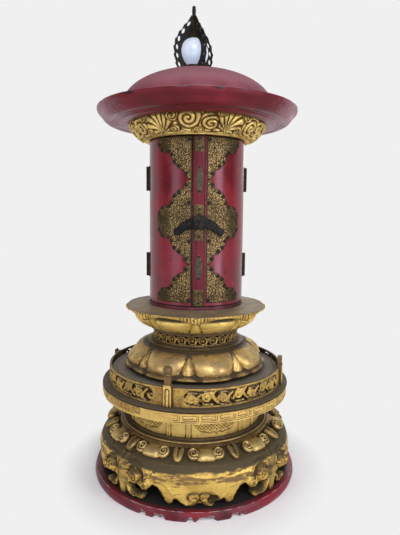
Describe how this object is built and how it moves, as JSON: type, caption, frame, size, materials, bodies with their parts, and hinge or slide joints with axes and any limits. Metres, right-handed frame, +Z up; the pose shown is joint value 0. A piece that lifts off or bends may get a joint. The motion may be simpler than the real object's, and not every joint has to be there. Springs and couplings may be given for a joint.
{
  "type": "lacquered wooden altar shrine cabinet",
  "caption": "Round red-lacquered wooden shrine cabinet with two curved hinged doors, on gilt lotus pedestals, a railed terrace and a carved stand, under a domed hat roof with a jewel finial.",
  "frame": {"origin": "centre of the plinth on the ground", "axes": "+Z up, doors face -Y, +X to the viewer's right"},
  "size_m": [0.4029, 0.403, 0.9004],
  "materials": {
    "red_lacquer": "worn gloss lacquer",
    "dark_lacquer": "satin lacquer",
    "gilt_wood": "worn gold leaf on carved wood",
    "bronze_gilt": "dulled gold leaf on carved wood",
    "dusty_wood": "dusty black lacquer",
    "brass": "tarnished engraved brass",
    "black_iron": "blackened iron",
    "crystal": "milky polished crystal"
  },
  "bodies": {
    "shrine": {"plinth": "red_lacquer", "stand_panels": "gilt_wood", "leg_front_left": "gilt_wood", "leg_front_right": "gilt_wood", "leg_back_left": "gilt_wood", "leg_back_right": "gilt_wood", "collar": "bronze_gilt", "lappets": "bronze_gilt", "leaf_drops": "bronze_gilt", "drum": "gilt_wood", "fret_plate": "gilt_wood", "terrace_floor": "dusty_wood", "rail_panels": "gilt_wood", "rail_posts": "bronze_gilt", "post_buds": "black_iron", "lower_lotus": "gilt_wood", "neck": "dusty_wood", "neck_scroll": "gilt_wood", "upper_lotus": "gilt_wood", "cabinet_floor": "dark_lacquer", "back_wall_left": "red_lacquer", "back_wall_middle": "red_lacquer", "back_wall_right": "red_lacquer", "ceiling": "dark_lacquer", "left_hinge_frame_leaves": "black_iron", "right_hinge_frame_leaves": "black_iron", "frieze": "gilt_wood", "roof_moulding": "dark_lacquer", "roof_brim": "red_lacquer", "roof_dome": "red_lacquer", "finial_seat": "black_iron", "jewel": "crystal", "flame_panels": "black_iron", "flame_tongue": "black_iron"},
    "left_door": {"left_door": "red_lacquer", "left_plates": "brass", "left_latch": "black_iron", "left_hinge_door_leaves": "black_iron"},
    "right_door": {"right_door": "red_lacquer", "door_batten": "red_lacquer", "batten_fittings": "brass", "right_plates": "brass", "right_latch": "black_iron", "right_hinge_door_leaves": "black_iron"}
  },
  "joints": [
    {"name": "left_door_hinge", "type": "hinge", "parent": "shrine", "child": "left_door", "pos_m": [-0.095, 0, 0.496], "axis": [0, 0, -1], "range_deg": [0, 120]},
    {"name": "right_door_hinge", "type": "hinge", "parent": "shrine", "child": "right_door", "pos_m": [0.095, 0, 0.496], "axis": [0, 0, 1], "range_deg": [0, 120]}
  ]
}
